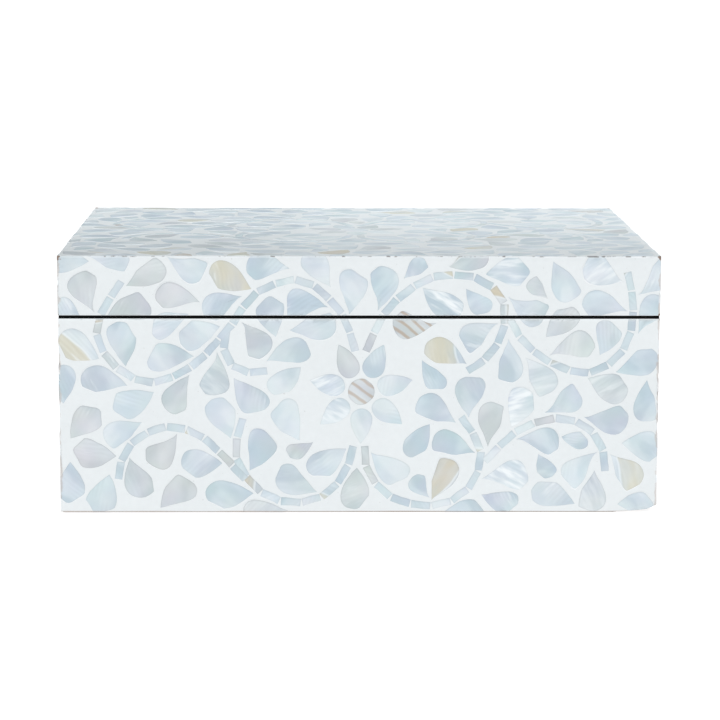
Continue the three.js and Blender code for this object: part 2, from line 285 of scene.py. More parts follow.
def disc_outline(radius):
    angle = 2 * math.pi * np.arange(LEAF_STEPS) / LEAF_STEPS
    return radius * np.c_[np.cos(angle), np.sin(angle)]


def shape_outlines():
    """Outline of each tile shape at its nominal size, in the order of the shape numbers."""
    leaves = [leaf_outline(*NOMINAL_LEAF, *kind) for kind in LEAF_KINDS]
    petal = leaf_outline(*PETAL, PETAL_SHARPNESS)
    return [tessera_outline(*NOMINAL_TESSERA), disc_outline(DISC_RADIUS), petal, *leaves]


OUTLINES = shape_outlines()


def turned(points, angle):
    cos, sin = math.cos(angle), math.sin(angle)
    return points @ np.array([[cos, sin], [-sin, cos]])


# ---- laying out the tiles of a face, in millimetres ----

FAR = 1e9
TINY = 1e-9


class Stem:
    """A smooth line through points, measured along its length."""

    STEPS = 24
    HEADING_REACH = 0.5

    def __init__(self, points):
        knots = np.array(points, float)
        ends = (2 * knots[0] - knots[1], 2 * knots[-1] - knots[-2])
        knots = np.vstack([ends[0], knots, ends[1]])
        t = np.linspace(0, 1, self.STEPS, endpoint=False)[:, None]
        runs = [
            0.5 * (2 * b + (c - a) * t + (2 * a - 5 * b + 4 * c - d) * t**2 + (3 * b - a - 3 * c + d) * t**3)
            for a, b, c, d in zip(knots, knots[1:], knots[2:], knots[3:])
        ]
        self.points = np.vstack([*runs, knots[-2]])
        steps = np.linalg.norm(np.diff(self.points, axis=0), axis=1)
        self.distance = np.r_[0, np.cumsum(steps)]
        self.length = self.distance[-1]

    def at(self, distance):
        u = np.interp(distance, self.distance, self.points[:, 0])
        v = np.interp(distance, self.distance, self.points[:, 1])
        return np.array([u, v])

    def heading(self, distance):
        distance = min(distance, self.length)
        ahead = self.at(min(distance + self.HEADING_REACH, self.length))
        step = ahead - self.at(max(distance - self.HEADING_REACH, 0))
        return math.atan2(step[1], step[0])


class Ground:
    """Distance from each cell of a face to the nearest tile, in millimetres."""

    CELL = 0.75
    REACH = 26.0
    MARGIN = 12.0

    def __init__(self, half_width, low, high):
        self.u = np.arange(-half_width - self.MARGIN, half_width + self.MARGIN, self.CELL)
        self.v = np.arange(low - self.MARGIN, high + self.MARGIN, self.CELL)
        self.gap = np.full((len(self.v), len(self.u)), self.REACH)

    def at(self, points):
        """Distance at each point, as in its cell."""
        column, row = (
            np.clip(((points[..., axis] - places[0]) / self.CELL).round().astype(int), 0, len(places) - 1)
            for axis, places in enumerate((self.u, self.v))
        )
        return self.gap[row, column]

    def cover(self, outline):
        """Brings the distances up to date with one more tile."""
        low, high = outline.min(0) - self.REACH, outline.max(0) + self.REACH
        rows = np.flatnonzero((self.v >= low[1]) & (self.v <= high[1]))
        columns = np.flatnonzero((self.u >= low[0]) & (self.u <= high[0]))
        if not len(rows) or not len(columns):
            return
        u, v = np.meshgrid(self.u[columns], self.v[rows])
        cells = np.stack([u, v], -1)[:, :, None, :]
        start, end = outline, np.roll(outline, -1, 0)
        run = end - start
        offset = cells - start
        share = np.clip((offset * run).sum(-1) / (run * run).sum(-1), 0, 1)
        distance = np.linalg.norm(offset - share[..., None] * run, axis=-1).min(-1)
        crosses = (start[:, 1] > v[..., None]) != (end[:, 1] > v[..., None])
        rise = np.where(np.abs(run[:, 1]) < TINY, TINY, run[:, 1])
        meeting = start[:, 0] + (v[..., None] - start[:, 1]) * run[:, 0] / rise
        inside = (crosses & (u[..., None] < meeting)).sum(-1) % 2 == 1
        distance[inside] = 0
        window = np.ix_(rows, columns)
        self.gap[window] = np.minimum(self.gap[window], distance)


class Layout:
    """The tiles of one face: where each shape goes, how it turns and how it is scaled."""

    LEAF_GAP = 0.75
    STEM_GAP = 1.1
    # A leaf at less than this angle to its stem, in degrees, stands further off for each degree
    CLOSE_ANGLE = 30
    STAND_OFF = 0.11
    # How a leaf beside a stem may give way: how it shrinks, turns in degrees and slides along the stem
    EASED = [(shrink, swing, slide) for shrink in (1.0, 0.92, 0.84, 0.76)
             for swing in (0, 7, -7, 14, -14, 21) for slide in (0, 1.5, -1.5, 3, -3)]
    DISC_TURN = 6.0
    # Smallest and largest leaf, as shares of the usual one
    SPREAD = (0.93, 1.07)
    # Free leaves: their sizes in turn, the places tried for each leaf, and the misses that end a size
    FREE_SIZES = (1.0, 0.88, 0.76, 0.64)
    TRIES = 900
    MISSES = 25
    # Most free leaves keep within the edges of the face, and the others are cut off by them
    WHOLE_SHARE = 0.85
    WITHIN, BEYOND = 1.4, -4.0

    def __init__(self, half_width, low, high, seed):
        self.half_width, self.low, self.high = half_width, low, high
        self.ground = Ground(half_width, low, high)
        self.random = np.random.RandomState(seed)
        self.rows = []

    def place(self, shape, point, turn, scale=(1.0, 1.0)):
        self.rows.append((shape, point[0], point[1], turn, scale[0], scale[1]))
        outline = turned(OUTLINES[shape] * np.array(scale), turn) + np.array(point)
        self.ground.cover(outline)

    def stem(self, vine):
        """Tesserae of equal length along a stem."""
        sizes = settings().tiles
        line = Stem(vine["stem"])
        joint = sizes.joint / MM
        count = round((line.length + joint) / (sizes.tessera_length / MM + joint))
        pitch = (line.length + joint) / count
        for i in range(count):
            start, end = line.at(i * pitch), line.at((i + 1) * pitch - joint)
            run = end - start
            scale = (np.linalg.norm(run) / NOMINAL_TESSERA[0], sizes.stem_width / MM / NOMINAL_TESSERA[1])
            self.place(TESSERA_SHAPE, (start + end) / 2, math.atan2(run[1], run[0]), scale)

    def leaf_shape(self):
        return FIRST_LEAF_SHAPE + self.random.randint(len(LEAF_KINDS))

    def leaf_scale(self):
        sizes = settings().tiles
        length = sizes.leaf_length / MM / NOMINAL_LEAF[0] * self.random.uniform(*self.SPREAD)
        width = sizes.leaf_width / MM / NOMINAL_LEAF[1] * self.random.uniform(*self.SPREAD)
        return np.array([length, width])

    def probes(self, shape, scale, spots, turns):
        """Points on and inside the outline of a shape at each of several places, and how far each
        point is from the tiles placed so far."""
        outline = OUTLINES[shape] * np.array(scale)
        middle = np.c_[np.linspace(0.3, 0.8, 4) * outline[:, 0].max(), np.zeros(4)]
        probe = np.vstack([outline, middle])
        spots, turns = np.atleast_2d(spots), np.atleast_1d(turns)
        cos, sin = np.cos(turns)[:, None], np.sin(turns)[:, None]
        u = spots[:, :1] + probe[:, 0] * cos - probe[:, 1] * sin
        v = spots[:, 1:] + probe[:, 0] * sin + probe[:, 1] * cos
        return u, v, self.ground.at(np.stack([u, v], -1))

    def leaves(self, vine):
        """Leaves along both sides of a stem. Those nearly in line with it stand further off. A leaf
        that would meet another one turns, slides or shrinks a little, or is left out."""
        beside = settings().tiles.stem_width / MM / 2 + self.STEM_GAP
        line = Stem(vine["stem"])
        for side, leaves in ((1, vine["left"]), (-1, vine["right"])):
            for distance, spread in leaves:
                shape = self.leaf_shape()
                size = self.leaf_scale()
                for shrink, swing, slide in self.EASED:
                    heading = line.heading(distance + slide)
                    turn = heading + side * math.radians(spread + swing)
                    off = beside + self.STAND_OFF * max(0, self.CLOSE_ANGLE - spread - swing)
                    across = side * off * np.array([-math.sin(heading), math.cos(heading)])
                    spot = line.at(distance + slide) + across
                    gaps = self.probes(shape, size * shrink, spot, turn)[2]
                    if gaps.min() > self.LEAF_GAP:
                        self.place(shape, spot, turn, size * shrink)
                        break

    def flower(self, centre):
        self.place(DISC_SHAPE, centre, self.random.uniform(0, self.DISC_TURN))
        for i in range(PETALS):
            angle = -math.pi / 2 + 2 * math.pi * i / PETALS
            reach = PETAL_START + PETAL[0]
            tip = np.array(centre) + reach * np.array([math.cos(angle), math.sin(angle)])
            self.place(PETAL_SHAPE, tip, angle + math.pi)

    def fill(self, centre, radius):
        """Free leaves outside a circle, each set where it fits most tightly among those before it."""
        gap = settings().tiles.ground / MM
        for size in self.FREE_SIZES:
            misses = 0
            while misses < self.MISSES:
                shape = self.leaf_shape()
                scale = self.leaf_scale() * size
                spots = np.c_[
                    self.random.uniform(-self.half_width, self.half_width, self.TRIES),
                    self.random.uniform(self.low, self.high, self.TRIES),
                ]
                turns = self.random.uniform(-math.pi, math.pi, self.TRIES)
                u, v, gaps = self.probes(shape, scale, spots, turns)
                edge = self.WITHIN if self.random.rand() < self.WHOLE_SHARE else self.BEYOND
                fits = (
                    (np.abs(u).max(1) < self.half_width - edge)
                    & (v.min(1) > self.low + edge)
                    & (v.max(1) < self.high - edge)
                    & (gaps.min(1) > gap)
                    & (np.hypot(u - centre[0], v - centre[1]) > radius).all(1)
                )
                if not fits.any():
                    misses += 1
                    continue
                misses = 0
                best = np.flatnonzero(fits)[gaps[fits].mean(1).argmin()]
                self.place(shape, spots[best], turns[best], scale)


# Finish of a tile: how grey, warm, flashing and striped it is, and how ochre its warm part is
FINISHES = {
    "plain": (0.0, 0.0, 0.0, 0.0, 0.0),
    "grey": (0.6, 0.0, 0.0, 0.0, 0.2),
    "cream": (0.1, 0.62, 0.1, 0.0, 0.12),
    "cream_edge": (0.1, 0.26, 0.15, 0.0, 0.1),
    "ochre": (0.5, 0.55, 0.1, 0.0, 0.3),
    "tan": (0.6, 0.5, 0.1, 0.0, 0.5),
    "tan_edge": (0.35, 0.28, 0.35, 0.0, 0.62),
    "flash": (0.0, 0.0, 1.0, 0.0, 0.1),
    "striped": (0.7, 0.0, 0.0, 1.0, 0.8),
}
FINISH_PARTS = ("grey", "warm", "flash", "striped", "ochre")
# Share of the tiles that have each finish
FINISH_ODDS = {"plain": 0.77, "grey": 0.11, "cream_edge": 0.06, "cream": 0.01, "ochre": 0.01,
               "tan_edge": 0.01, "flash": 0.025, "striped": 0.005}
# A face with accents has these where an accent says, and nowhere else
STRONG_FINISHES = ("cream", "ochre", "striped", "flash")
# Accents that may fall on a tessera of a stem
STEM_FINISHES = ("tan", "ochre")


def tile_finishes(layout, accents):
    """Finish of each tile: by chance, with the accents given to the tiles nearest to their points."""
    names = list(FINISH_ODDS)
    odds = np.array(list(FINISH_ODDS.values()))
    picks = [names[i] for i in layout.random.choice(len(names), len(layout.rows), p=odds / odds.sum())]
    if accents:
        middles = []
        for shape, u, v, turn, *scale in layout.rows:
            middle = OUTLINES[shape].mean(0) * scale
            middles.append(turned(middle[None], turn)[0] + (u, v))
        middles = np.array(middles)
        taken = set()
        picks = ["plain" if pick in STRONG_FINISHES else pick for pick in picks]
        tesserae = [i for i, row in enumerate(layout.rows) if row[0] == TESSERA_SHAPE]
        for u, v, finish in accents:
            near = np.hypot(*(middles - (u, v)).T)
            if finish not in STEM_FINISHES:
                near[tesserae] = FAR
            near[list(taken)] = FAR
            nearest = int(near.argmin())
            taken.add(nearest)
            picks[nearest] = finish
    return np.array([FINISHES[pick] for pick in picks])


# ---- nodes ----


def made_once(kind, name):
    """Makes a data block the first time it is asked for, and finds it by its name after that."""
    def wrap(make):
        def find():
            blocks = getattr(bpy.data, kind)
            return blocks[name] if name in blocks else make(name)
        return find
    return wrap


def math_operator(operation, swapped=False):
    def apply(self, other=0.0):
        first, second = (other, self) if swapped else (self, other)
        return result(self.socket.id_data, "ShaderNodeMath", {0: first, 1: second}, operation=operation)
    return apply


class Value:
    """Output of a node. Arithmetic with it adds a Math node to the same tree."""

    def __init__(self, socket):
        self.socket = socket

    __add__ = math_operator("ADD")
    __sub__ = math_operator("SUBTRACT")
    __rsub__ = math_operator("SUBTRACT", swapped=True)
    __mul__ = math_operator("MULTIPLY")
    __truediv__ = math_operator("DIVIDE")
    __rtruediv__ = math_operator("DIVIDE", swapped=True)
    __abs__ = math_operator("ABSOLUTE")
    or_larger = math_operator("MAXIMUM")


def node(tree, kind, inputs=None, **values):
    """A new node with its values set, and with its inputs set or linked."""
    made = tree.nodes.new(kind)
    for key, value in values.items():
        setattr(made, key, value)
    for key, value in (inputs or {}).items():
        if isinstance(value, Value):
            tree.links.new(value.socket, made.inputs[key])
        else:
            made.inputs[key].default_value = value
    return made


def result(tree, kind, inputs=None, output=0, **values):
    """An output of a new node."""
    return Value(node(tree, kind, inputs, **values).outputs[output])


def results(tree, kind, inputs=None, **values):
    """All outputs of a new node, by name."""
    return {socket.name: Value(socket) for socket in node(tree, kind, inputs, **values).outputs}


def new_group(name, tree_type, inputs, outputs):
    """Node group and the values of its inputs. An input or output is given by its kind of socket,
    and an input with a number instead is a value with that default."""
    tree = bpy.data.node_groups.new(name, tree_type)
    for in_out, sockets in (("INPUT", inputs), ("OUTPUT", outputs)):
        for label, kind in sockets.items():
            default = kind if isinstance(kind, float) else None
            socket_type = "NodeSocketFloat" if default is not None else f"NodeSocket{kind}"
            socket = tree.interface.new_socket(label, in_out=in_out, socket_type=socket_type)
            if default is not None:
                socket.default_value = default
    return tree, results(tree, "NodeGroupInput")


def vector_math(tree, operation, first, second):
    return result(tree, "ShaderNodeVectorMath", {0: first, 1: second}, operation=operation)


def times(tree, vector, value):
    """Colour or vector scaled by a value."""
    return result(tree, "ShaderNodeVectorMath", {0: vector, "Scale": value}, operation="SCALE")


def combined(tree, x=0.0, y=0.0, z=0.0):
    return result(tree, "ShaderNodeCombineXYZ", {"X": x, "Y": y, "Z": z})


def split(tree, vector):
    return results(tree, "ShaderNodeSeparateXYZ", {0: vector}).values()


def ramp(tree, value, low, high, to_low=0.0, to_high=1.0):
    """Smooth step from to_low, where a value is low, to to_high, where it is high."""
    inputs = {"Value": value, "From Min": low, "From Max": high, "To Min": to_low, "To Max": to_high}
    return result(tree, "ShaderNodeMapRange", inputs, interpolation_type="SMOOTHSTEP")


def noise_texture(tree, place, scale, detail, output="Fac", roughness=0.5):
    inputs = {"Vector": place, "Scale": scale, "Detail": detail, "Roughness": roughness}
    return result(tree, "ShaderNodeTexNoise", inputs, output)


def stretched(tree, place, x, y):
    return result(tree, "ShaderNodeMapping", {"Vector": place, "Scale": (x, y, 1.0)})


def colour_input(value):
    return value if isinstance(value, Value) else (*value[:3], 1)


def mix(tree, factor, first, second, blend="MIX"):
    inputs = {0: factor, 6: colour_input(first), 7: colour_input(second)}
    return result(tree, "ShaderNodeMix", inputs, 2, data_type="RGBA", blend_type=blend)


def laid_over(tree, base, colour, mask, strength):
    """Base colour with another colour over it where a mask is 1, as strongly as is given."""
    return mix(tree, mask * strength, base, colour)


# ---- tile shapes and the tree that sets them ----

# Millimetres to one unit of a tile's UV map, and the size of the innermost ring of its face
UV_SIZE = 20
CORE_SHARE = 0.25


def new_object(name, mesh):
    obj = bpy.data.objects.new(name, mesh)
    bpy.context.scene.collection.objects.link(obj)
    return obj


def mesh_from(bm, name):
    mesh = bpy.data.meshes.new(name)
    bm.to_mesh(mesh)
    bm.free()
    return mesh


def shrunk(outline, distance):
    """Outline drawn in towards its middle, by a distance at its far ends and sides."""
    middle = outline.mean(0)
    reach = np.abs(outline - middle).max(0)
    return middle + (outline - middle) * (1 - distance / reach)


def tile_template(name, outline):
    """A thin tile with a softened rim, and the filler drawn up against it. Its rim value is 2 on
    the filler, 1 at the edge of the tile and falls to 0 in its middle."""
    sizes = settings().tiles
    centre = outline.mean(0)
    collar = shrunk(outline, -sizes.collar / MM)
    sink = settings().filler.sink / MM
    # Outline, height and rim value of each ring, from the back of the tile to its face
    rings = [
        (collar, -sizes.thickness / MM, 2.0),
        (collar, -sink - 0.02, 2.0),
        (outline, -0.45 * sink, 2.0),
        (shrunk(outline, 0.02), -0.4 * sink, 1.0),
        (shrunk(outline, 0.1), -0.15 * sink, 0.95),
        (shrunk(outline, sizes.bevel / MM), 0.0, 0.8),
        (shrunk(outline, 1.1), 0.0, 0.4),
        (centre + (outline - centre) * CORE_SHARE, 0.0, 0.1),
    ]
    bm = bmesh.new()
    rim = bm.verts.layers.float.new("rim")
    uv_layer = bm.loops.layers.uv.new("UVMap")
    loops = []
    for points, z, value in rings:
        verts = [bm.verts.new((x * MM, y * MM, z * MM)) for x, y in points]
        for vert in verts:
            vert[rim] = value
        loops.append(verts)
    middle = bm.verts.new((centre[0] * MM, centre[1] * MM, 0))
    count = len(outline)
    for low, high in zip(loops, loops[1:]):
        for i in range(count):
            bm.faces.new((low[i], low[(i + 1) % count], high[(i + 1) % count], high[i]))
    for i in range(count):
        bm.faces.new((loops[-1][i], loops[-1][(i + 1) % count], middle))
    back = bm.faces.new(list(reversed(loops[0])))
    for face in bm.faces:
        face.smooth = face is not back
        for loop in face.loops:
            loop[uv_layer].uv = (loop.vert.co.x / MM / UV_SIZE, loop.vert.co.y / MM / UV_SIZE)
    return bpy.data.objects.new(name, mesh_from(bm, name))


@made_once("collections", "tile_shapes")
def templates(name):
    """Collection of the tile shapes, named so that they sort by shape number."""
    collection = bpy.data.collections.new(name)
    for number, outline in enumerate(OUTLINES):
        collection.objects.link(tile_template(f"tile_shape_{number:02d}", outline))
    return collection


@made_once("node_groups", "Shell Inlay")
def inlay_tree(name):
    """Sets tile shapes on points, lets their outlines stray, and stands them on a face."""
    inputs = {"Points": "Geometry", "Shapes": "Collection", "Tilt": "Float", "Lift": "Float",
              "Wander": "Float", "Wander Size": "Float", "Face Place": "Vector", "Face Turn": "Vector",
              "Material": "Material", "Seed": "Int"}
    tree, given = new_group(name, "GeometryNodeTree", inputs, {"Tiles": "Geometry"})
    seed = given["Seed"]
    turn, scale, shape = (
        result(tree, "GeometryNodeInputNamedAttribute", {"Name": label}, "Attribute", data_type=kind)
        for label, kind in (("turn", "FLOAT"), ("scale", "FLOAT_VECTOR"), ("shape", "INT"))
    )

    # Each tile is tilted and lies a little deeper than the face, both by chance
    tilt = result(tree, "FunctionNodeRandomValue", {"Min": given["Tilt"] * -1.0, "Max": given["Tilt"],
                                                    "Seed": seed}, data_type="FLOAT_VECTOR")
    tilt_x, tilt_y, _ = split(tree, tilt)
    rotation = result(tree, "FunctionNodeEulerToRotation", {0: combined(tree, tilt_x, tilt_y, turn)})
    drop = result(tree, "FunctionNodeRandomValue", {2: 0.0, 3: given["Lift"], "Seed": seed}, 1,
                  data_type="FLOAT")
    sunk = combined(tree, z=drop * -1.0)
    points = result(tree, "GeometryNodeSetPosition", {"Geometry": given["Points"], "Offset": sunk})
    shapes = result(tree, "GeometryNodeCollectionInfo", {"Collection": given["Shapes"],
                                                         "Separate Children": True,
                                                         "Reset Children": True})
    tiles = result(tree, "GeometryNodeInstanceOnPoints", {"Points": points, "Instance": shapes,
                                                          "Pick Instance": True, "Instance Index": shape,
                                                          "Rotation": rotation, "Scale": scale})
    real = result(tree, "GeometryNodeRealizeInstances", {0: tiles})

    # The outlines stray as hand-cut ones do, and the tiles stay flat
    place = result(tree, "GeometryNodeInputPosition")
    waver = result(tree, "ShaderNodeTexNoise", {"Vector": place, "W": seed, "Detail": 2.0,
                                                "Scale": 1.0 / given["Wander Size"]},
                   "Color", noise_dimensions="4D")
    centred = vector_math(tree, "SUBTRACT", waver, (0.5, 0.5, 0.5))
    flat = vector_math(tree, "MULTIPLY", centred, (2.0, 2.0, 0.0))
    stray = times(tree, flat, given["Wander"])
    cut = result(tree, "GeometryNodeSetPosition", {"Geometry": real, "Offset": stray})

    stand = result(tree, "GeometryNodeTransform", {"Geometry": cut, "Translation": given["Face Place"],
                                                   "Rotation": given["Face Turn"]})
    finish = result(tree, "GeometryNodeSetMaterial", {"Geometry": stand, "Material": given["Material"]})
    node(tree, "NodeGroupOutput", {0: finish})
    return tree


def set_inputs(modifier, values):
    """Sets a Geometry Nodes modifier's inputs by the sockets' identifiers."""
    for item in modifier.node_group.interface.items_tree:
        if item.in_out == "INPUT" and item.name in values:
            modifier[item.identifier] = values[item.name]


# ---- the faces of the box ----


def wall(x, y, turn, half_width):
    return (x, y, 0), (math.pi / 2, 0, turn), half_width / MM, FOOT / MM, HEIGHT / MM


# A face: the place and the turn that bring its flat layout onto the box, its half width, and the lowest
# and highest v on it. A wall's layout starts at the middle of its lower edge, and the top's at its centre.
FACES = {
    "front": wall(0, -HALF_DEPTH, 0, HALF_LENGTH),
    "right": wall(HALF_LENGTH, 0, math.pi / 2, HALF_DEPTH),
    "back": wall(0, HALF_DEPTH, math.pi, HALF_LENGTH),
    "left": wall(-HALF_LENGTH, 0, -math.pi / 2, HALF_DEPTH),
    "top": ((0, 0, HEIGHT), (0, 0, 0), HALF_LENGTH / MM, -HALF_DEPTH / MM, HALF_DEPTH / MM),
}
# How deep the tile faces lie under the outside of the box, and how much deeper one may lie by chance
TILE_DEPTH = 0.12 * MM
TILE_DROP = 0.04 * MM
# Length of the waves in a hand-cut outline
WANDER_SIZE = 8 * MM
# Where an edge of the box cuts the tiles off, as a share of the filler's sink, and the chamfer there
CUT_SHARE = 0.6
CHAMFER = 0.3 * MM
# How far from the seam the tiles of the base end, and the filler of the base and the tiles of the lid
SEAM_MARGIN = 0.5 * MM
SEAM_LIP = 0.15 * MM
# Gap between the deepest wave of the filler and the liner behind the seam
LINER_GAP = 0.1 * MM
# Clear circle round a flower, in millimetres, where no free leaf lies
FLOWER_GROUND = 31
TOP_FLOWER_GROUND = 28
# What a face adds to the seed
SIDE_SEED = 10
TOP_SEED = 20
# Tones run from 0, blue, to 1, pale: how pale a tessera gets, and the least of a tile of the top
TESSERA_TONE = 0.7
TOP_TONE = 0.3
# Most that the grain of a tile turns from its length, in radians
LARGEST_GRAIN = 1.2
# The worn lower corner: three points, in millimetres, of each plane that cuts it
END, FLANK = round(HALF_LENGTH / MM), -round(HALF_DEPTH / MM)
WORN_CUTS = [
    [(END - 23, FLANK, 0), (END, FLANK, 2.2), (END, FLANK + 40, 0)],
    [(END - 9, FLANK, 0), (END, FLANK, 4), (END, FLANK + 20, 0)],
]
# Highest that the worn corner reaches, and the least slope of its planes that the filler is raised by
WORN_HEIGHT = 8 * MM
LEAST_SLOPE = 0.2
# Waves of the edges: how far from an edge they reach, how many there are to a metre, what sets those
# of one edge apart from the next, and how high those of the top are, as a share of the others
EDGE_REACH = 7 * MM
LONG_WAVES = 55
SHORT_WAVES = 110
TOP_WAVES = 45
EDGE_STEP = 7
TOP_STEP = 5
TOP_WAVINESS = 0.4


def layout_mesh(name, layout, finishes, palest):
    """One point for each tile, with all that the tree and the material read of it."""
    rows = np.array(layout.rows)
    random = layout.random
    mesh = bpy.data.meshes.new(name)
    mesh.from_pydata([(u * MM, v * MM, 0) for u, v in rows[:, 1:3]], [], [])

    def store(label, values, kind="FLOAT", field="value", number=np.float32):
        attribute = mesh.attributes.new(label, kind, "POINT")
        attribute.data.foreach_set(field, np.ascontiguousarray(values.astype(number)).ravel())

    store("turn", rows[:, 3])
    store("scale", np.c_[rows[:, 4:6], np.ones(len(rows))], "FLOAT_VECTOR", "vector")
    store("shape", rows[:, 0], "INT", number=np.int32)
    bluer = np.where(rows[:, 0] == TESSERA_SHAPE, TESSERA_TONE, 1.0)
    store("tone", palest + (1 - palest) * random.rand(len(rows)) * bluer)
    store("grain", random.uniform(-LARGEST_GRAIN, LARGEST_GRAIN, len(rows)))
    spread = random.uniform(0.8, 1.2, finishes.shape)
    for label, values in zip(FINISH_PARTS, (finishes * spread).T):
        store(label, values)
    return mesh


def trimmed(mesh, cuts):
    """Copy of a mesh cut by planes (point, normal), with what lies along each normal removed."""
    bm = bmesh.new()
    bm.from_mesh(mesh)
    for point, normal in cuts:
        everything = bm.verts[:] + bm.edges[:] + bm.faces[:]
        result = bmesh.ops.bisect_plane(bm, geom=everything, plane_co=point, plane_no=normal,
                                        clear_outer=True)
        rims = [part for part in result["geom_cut"] if isinstance(part, bmesh.types.BMEdge)]
        rims = [edge for edge in rims if edge.is_boundary]
        bmesh.ops.holes_fill(bm, edges=rims, sides=0)
    uneven_edges(bm)
    result = mesh_from(bm, mesh.name)
    for material in mesh.materials:
        result.materials.append(material)
    return result


def tile_inset():
    """How far inside the box's outer faces its edges cut the tiles off."""
    return settings().filler.sink * CUT_SHARE


def side_cuts(side):
    """Planes that keep a face's tiles within the edges of the box, with the sharp edges taken off."""
    inset = tile_inset()
    x, y, z = HALF_LENGTH - inset, HALF_DEPTH - inset, HEIGHT - inset
    up = Vector((0, 0, 1))
    ends = [((x, 0, 0), (1, 0, 0)), ((-x, 0, 0), (-1, 0, 0))]
    flanks = [((0, y, 0), (0, 1, 0)), ((0, -y, 0), (0, -1, 0))]
    kept = {"front": ends, "back": ends, "left": flanks, "right": flanks, "top": ends + flanks}[side]
    cuts = list(kept)
    place = Vector(FACES[side][0])
    for point, normal in kept:
        corner = Vector(point) - Vector(normal) * CHAMFER
        if side == "top":
            cuts.append((corner + up * z, Vector(normal) + up))
        else:
            cuts.append((corner + place, Vector(normal) + place.normalized()))
    if side != "top":
        cuts.append((place + up * (z - CHAMFER), place.normalized() + up))
    return cuts


def worn_planes():
    planes = []
    for cut in WORN_CUTS:
        a, b, c = (Vector(point) * MM for point in cut)
        normal = (b - a).cross(c - a).normalized()
        if normal.z > 0:
            normal.negate()
        planes.append((a, normal))
    return planes


def uneven_edges(bm):
    """Lets the edges of the box waver a little, as hand-laid filler and tiles do."""
    waviness = settings().filler.waviness
    for vert in bm.verts:
        x, y, z = vert.co
        from_end, from_flank, from_top = HALF_LENGTH - abs(x), HALF_DEPTH - abs(y), HEIGHT - z
        upright = 1 - max(from_end, from_flank) / EDGE_REACH
        upper = 1 - max(min(from_end, from_flank), from_top) / EDGE_REACH
        if upright <= 0 and upper <= 0:
            continue
        out = Vector((math.copysign(1, x), math.copysign(1, y), 0))
        if upright > 0:
            long_wave = noise.noise(Vector((out.x * EDGE_STEP, out.y * EDGE_STEP, z * LONG_WAVES)))
            wave = long_wave + 0.5 * noise.noise(Vector((out.x, out.y, z * SHORT_WAVES)))
            vert.co -= out * upright * waviness * min(1, max(0, 0.5 + wave))
        if upper > 0:
            lap = noise.noise(Vector((x * TOP_WAVES, y * TOP_WAVES, TOP_STEP)))
            vert.co.z -= upper * waviness * TOP_WAVINESS * min(1, max(0, 0.5 + lap))


def face_layout(side, number=0):
    """Empty layout of a face, with a seed of its own."""
    return Layout(*FACES[side][2:], settings().tiles.seed + number)


def inlay_mesh(side, layout, accents):
    """All tiles of one face as a plain mesh, uncut."""
    sizes = settings().tiles
    place, turn, *_ = FACES[side]
    place = Vector(place)
    finishes = tile_finishes(layout, accents)
    name = f"{side}_layout"
    holder = new_object(name, layout_mesh(name, layout, finishes, TOP_TONE if side == "top" else 0.0))
    modifier = holder.modifiers.new("Inlay", "NODES")
    modifier.node_group = inlay_tree()
    set_inputs(modifier, {
        "Shapes": templates(),
        "Tilt": sizes.tilt,
        "Lift": TILE_DROP,
        "Wander": sizes.wander,
        "Wander Size": WANDER_SIZE,
        "Face Place": place * (1 - TILE_DEPTH / place.length),
        "Face Turn": turn,
        "Material": pearl_material(),
        "Seed": sizes.seed,
    })
    bpy.context.view_layer.update()
    evaluated = holder.evaluated_get(bpy.context.evaluated_depsgraph_get())
    mesh = bpy.data.meshes.new_from_object(evaluated)
    bpy.data.objects.remove(holder)
    return mesh


def inlay_face(side, layout, accents=()):
    """Tiles of one face, cut to it: for a wall, one piece below the seam and one above it."""
    mesh = inlay_mesh(side, layout, accents)
    outer = side_cuts(side)
    if side == "top":
        made = {"top_inlay": trimmed(mesh, outer)}
    else:
        ground = ((0, 0, FOOT), (0, 0, -1))
        below = ((0, 0, SEAM_LOW - SEAM_MARGIN), (0, 0, 1))
        above = ((0, 0, SEAM_HIGH + SEAM_LIP), (0, 0, -1))
        ceiling = ((0, 0, HEIGHT - tile_inset()), (0, 0, 1))
        worn = worn_planes() if side in ("front", "right") else []
        made = {
            f"{side}_inlay_base": trimmed(mesh, [*outer, below, ground, *worn]),
            f"{side}_inlay_lid": trimmed(mesh, [*outer, above, ceiling]),
        }
    pieces = {}
    for name, cut in made.items():
        cut.name = name
        piece = new_object(name, cut)
        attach(piece, BODY)
        pieces[name] = piece
    return pieces


# ---- materials ----


def new_material(name):
    material = bpy.data.materials.new(name)
    material.use_nodes = True
    material.node_tree.nodes.clear()
    return material, material.node_tree


def finished(material, inputs):
    """Ends a material with its shader and the shader's inputs."""
    tree = material.node_tree
    node(tree, "ShaderNodeOutputMaterial", {"Surface": result(tree, "ShaderNodeBsdfPrincipled", inputs)})
    return material


def bump_normal(tree, height, strength, distance):
    inputs = {"Height": height, "Strength": strength, "Distance": distance}
    return result(tree, "ShaderNodeBump", inputs)


def object_place(tree):
    return result(tree, "ShaderNodeTexCoord", output="Object")


def attribute(tree, name):
    return result(tree, "ShaderNodeAttribute", output="Fac", attribute_name=name, attribute_type="GEOMETRY")


